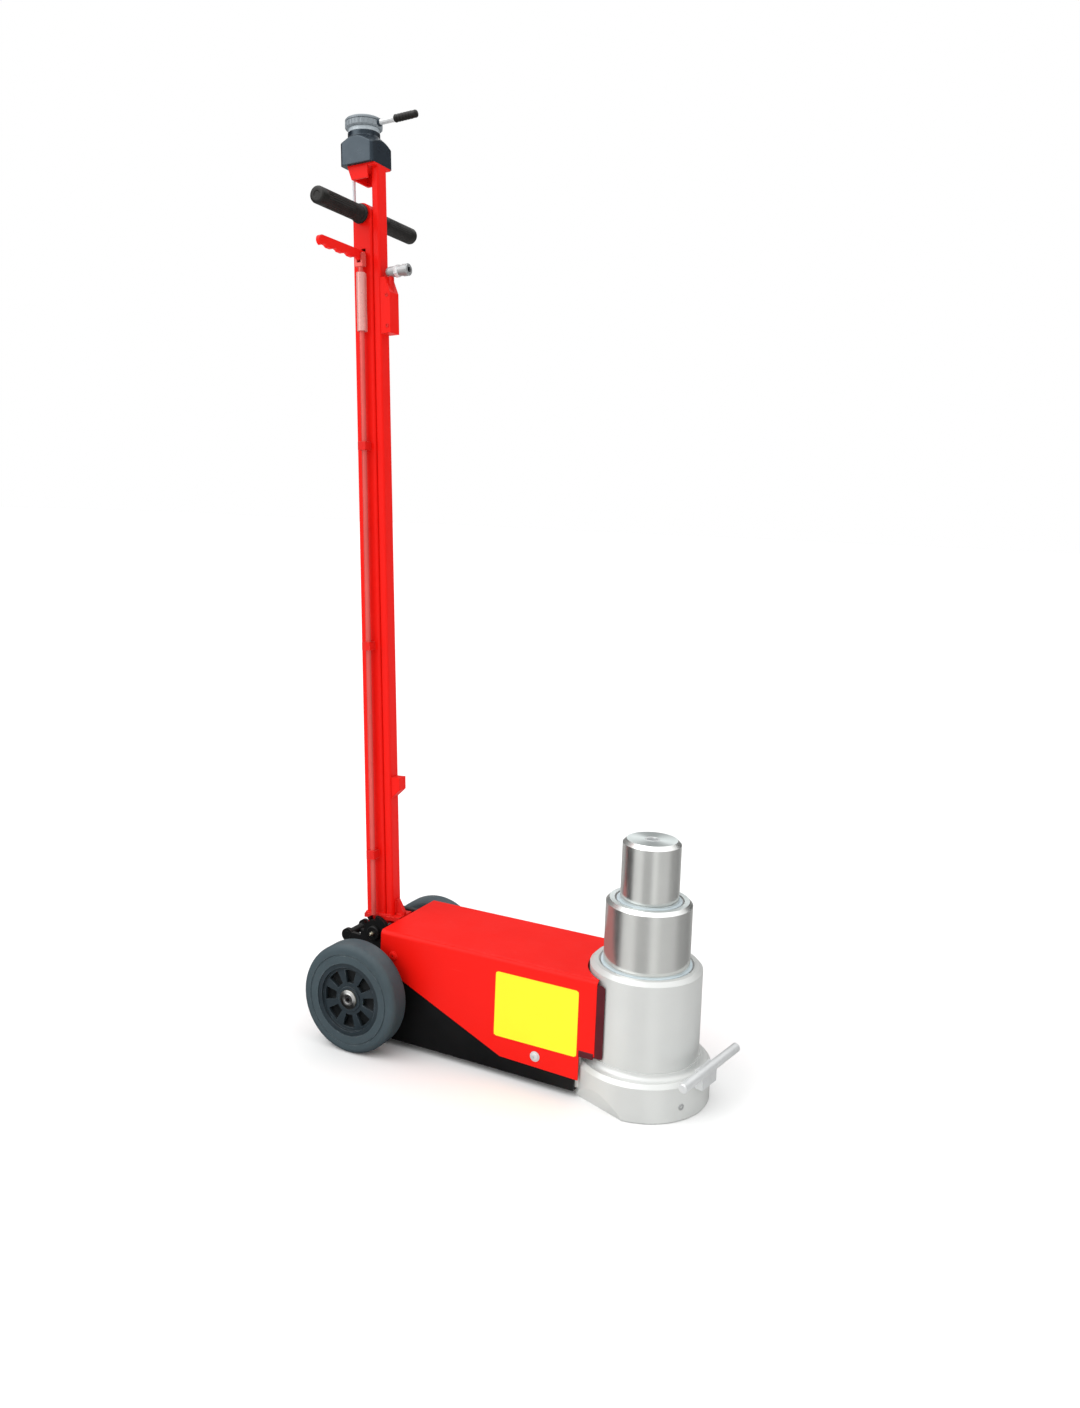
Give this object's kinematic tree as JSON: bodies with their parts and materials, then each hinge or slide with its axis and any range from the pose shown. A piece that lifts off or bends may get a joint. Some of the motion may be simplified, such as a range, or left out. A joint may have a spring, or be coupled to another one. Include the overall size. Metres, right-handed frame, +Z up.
{
  "type": "air hydraulic floor jack",
  "caption": "Wheeled air hydraulic floor jack with a telescopic ram, a red pump housing and a tilting handle with its air control.",
  "frame": {"origin": "on the floor under the lifting cylinder's axis", "axes": "+X forwards from the wheels to the cylinder, +Y to the jack's left, +Z up"},
  "size_m": [0.6311, 0.2436, 1.3021],
  "materials": {
    "cylinder_paint": "satin",
    "red_paint": "gloss",
    "dark_red_paint": "satin",
    "black_paint": "satin",
    "chromed_ram": "polished",
    "turned_steel": "brushed",
    "zinc_steel": "satin",
    "cast_aluminium": "satin",
    "cast_iron": "matte",
    "brass": "satin",
    "nickel_fitting": "satin",
    "air_line": "satin",
    "tyre_rubber": "matte",
    "seal_rubber": "matte",
    "hose_rubber": "matte",
    "grip_rubber": "matte",
    "head_plastic": "matte",
    "knob_plastic": "satin",
    "hub_plastic": "matte"
  },
  "bodies": {
    "chassis": {"base_block": "cylinder_paint", "carry_bar": "turned_steel", "outer_cylinder": "cylinder_paint", "cylinder_gland": "turned_steel", "cylinder_wiper": "seal_rubber", "pan": "black_paint", "cover": "red_paint", "cover_screws": "zinc_steel", "oil_tank": "black_paint", "tank_plug": "seal_rubber", "pump_block": "cast_iron", "motor_head": "cast_aluminium", "motor_barrel": "cast_aluminium", "motor_cap": "cast_aluminium", "muffler": "brass", "pressure_pipe": "turned_steel", "motor_hose": "hose_rubber", "swivel_elbow": "zinc_steel", "left_lug": "black_paint", "right_lug": "black_paint", "tilt_stop": "black_paint", "pivot_pin": "zinc_steel", "axle": "turned_steel", "axle_spacers": "black_paint", "axle_washers": "zinc_steel"},
    "first_stage": {"stage_one_ram": "chromed_ram", "stage_one_gland": "turned_steel", "stage_one_wiper": "seal_rubber", "stage_one_seal": "seal_rubber"},
    "second_stage": {"stage_two_ram": "chromed_ram", "stage_two_seal": "seal_rubber"},
    "right_wheel": {"right_tyre": "tyre_rubber", "right_hub": "hub_plastic", "right_bush": "turned_steel"},
    "left_wheel": {"left_tyre": "tyre_rubber", "left_hub": "hub_plastic", "left_bush": "turned_steel"},
    "motor_piston": {"air_piston": "cast_aluminium"},
    "handle": {"rear_post": "red_paint", "front_tube": "red_paint", "foot_bracket": "dark_red_paint", "pivot_bush": "turned_steel", "crossbar": "black_paint", "right_grip": "grip_rubber", "left_grip": "grip_rubber", "head_bracket": "red_paint", "valve_head": "head_plastic", "neck_ring": "knob_plastic", "inlet_box": "red_paint", "inlet_elbow": "nickel_fitting", "air_tube": "air_line", "rod_guides": "dark_red_paint", "spring_housing": "turned_steel", "lever_pin": "zinc_steel"},
    "control": {"valve_knob": "knob_plastic", "control_arm": "turned_steel", "control_grip": "grip_rubber"},
    "lever": {"lock_lever": "red_paint"},
    "rod": {"lock_rod": "turned_steel"}
  },
  "joints": [
    {"name": "first_stage_lift", "type": "slide", "parent": "chassis", "child": "first_stage", "axis": [0, 0, 1], "range_m": [-0.075, 0]},
    {"name": "second_stage_lift", "type": "slide", "parent": "first_stage", "child": "second_stage", "axis": [0, 0, 1], "range_m": [-0.075, 0]},
    {"name": "right_wheel_spin", "type": "hinge", "parent": "chassis", "child": "right_wheel", "pos_m": [-0.3843, -0.1043, 0.075], "axis": [0, 1, 0], "continuous": true},
    {"name": "left_wheel_spin", "type": "hinge", "parent": "chassis", "child": "left_wheel", "pos_m": [-0.3843, 0.1043, 0.075], "axis": [0, 1, 0], "continuous": true},
    {"name": "motor_stroke", "type": "slide", "parent": "chassis", "child": "motor_piston", "axis": [1, 0, 0], "range_m": [0, 0.03]},
    {"name": "handle_tilt", "type": "hinge", "parent": "chassis", "child": "handle", "pos_m": [-0.41, 0, 0.132], "axis": [0, 1, 0], "range_deg": [-70, 0]},
    {"name": "control_turn", "type": "hinge", "parent": "handle", "child": "control", "pos_m": [-0.4868, 0, 1.28947], "axis": [-0.061, 0, 0.9981], "range_deg": [-40, 40]},
    {"name": "lock_squeeze", "type": "hinge", "parent": "handle", "child": "lever", "pos_m": [-0.47134, 0, 1.10207], "axis": [0.9981, 0, 0.061], "range_deg": [-16, 16]},
    {"name": "lock_rod_slide", "type": "slide", "parent": "handle", "child": "rod", "axis": [-0.061, 0, 0.9981], "range_m": [-0.0058, 0.0058]}
  ],
  "couplings": [
    {"joint": "lock_squeeze", "follows": "lock_rod_slide", "rad_per_m": -47.6}
  ]
}
